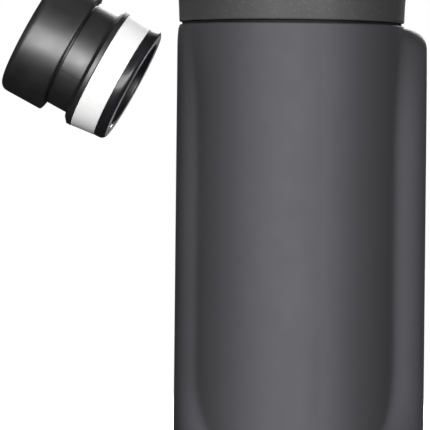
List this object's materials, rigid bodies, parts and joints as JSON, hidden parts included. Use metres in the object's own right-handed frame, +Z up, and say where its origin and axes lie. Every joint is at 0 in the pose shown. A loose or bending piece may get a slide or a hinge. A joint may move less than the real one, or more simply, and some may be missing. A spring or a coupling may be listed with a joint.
{
  "type": "vacuum flask",
  "caption": "Upright vacuum flask with a one-sided grip, a steel vessel, a lift-off drinking cup and a loose push-button stopper beside its neck.",
  "frame": {"origin": "centre of the face that the flask stands on, on the flask's axis", "axes": "+Z up along the flask's axis, -Y to the front panel, +X to the deeper side of the grip"},
  "size_m": [0.1511, 0.0872, 0.257],
  "materials": {
    "grey_casing": "soft matte, fine moulded grain",
    "grey_cup": "matte with fine speckled grain",
    "vessel_steel": "brushed stainless steel",
    "foil": "bright thin foil",
    "getter_pellet": "sintered powder",
    "seal_resin": "set resin",
    "black_moulding": "fine matte moulding",
    "black_rubber": "matte rubber",
    "clear_rubber": "translucent silicone",
    "stopper_black": "satin black moulding",
    "white_ring": "smooth white moulding",
    "seal_rubber": "smooth glossy silicone",
    "foam": "rigid insulating foam",
    "spring_steel": "drawn spring wire"
  },
  "bodies": {
    "flask": {"outer_shell": "grey_casing", "vessel_outer_wall": "vessel_steel", "vessel_inner_wall": "vessel_steel", "vessel_bottom": "vessel_steel", "vacuum_seal_cap": "seal_resin", "reflective_foil": "foil", "getter": "getter_pellet", "neck_collar": "black_moulding", "collar_gasket": "clear_rubber", "shoulder_cushion": "black_rubber", "bottom_cushion": "black_rubber", "base_cap": "black_moulding", "foot_pad": "black_rubber"},
    "cup": {"cup_shell": "grey_cup", "cup_liner": "black_moulding"},
    "stopper": {"stopper_knob": "stopper_black", "stopper_neck": "stopper_black", "stopper_core": "stopper_black", "stopper_band": "white_ring", "stopper_seal": "seal_rubber", "core_gasket": "seal_rubber", "insulation_foam": "foam", "button_spring": "spring_steel"},
    "button": {"push_button": "stopper_black", "valve_stem": "black_moulding", "valve_plate": "black_moulding", "valve_gasket": "seal_rubber"}
  },
  "joints": [
    {"name": "cup_lift", "type": "slide", "parent": "flask", "child": "cup", "axis": [0, 0, 1], "range_m": [0, 0.08]},
    {"name": "stopper_travel", "type": "slide", "parent": "flask", "child": "stopper", "axis": [-0.8785, 0.056, 0.4745], "range_m": [0, 0.03]},
    {"name": "button_press", "type": "slide", "parent": "stopper", "child": "button", "axis": [0.8785, -0.056, -0.4745], "range_m": [0, 0.0035], "stiffness_N_per_m": 600, "springref_m": -0.004, "deforming": ["button_spring"]}
  ]
}
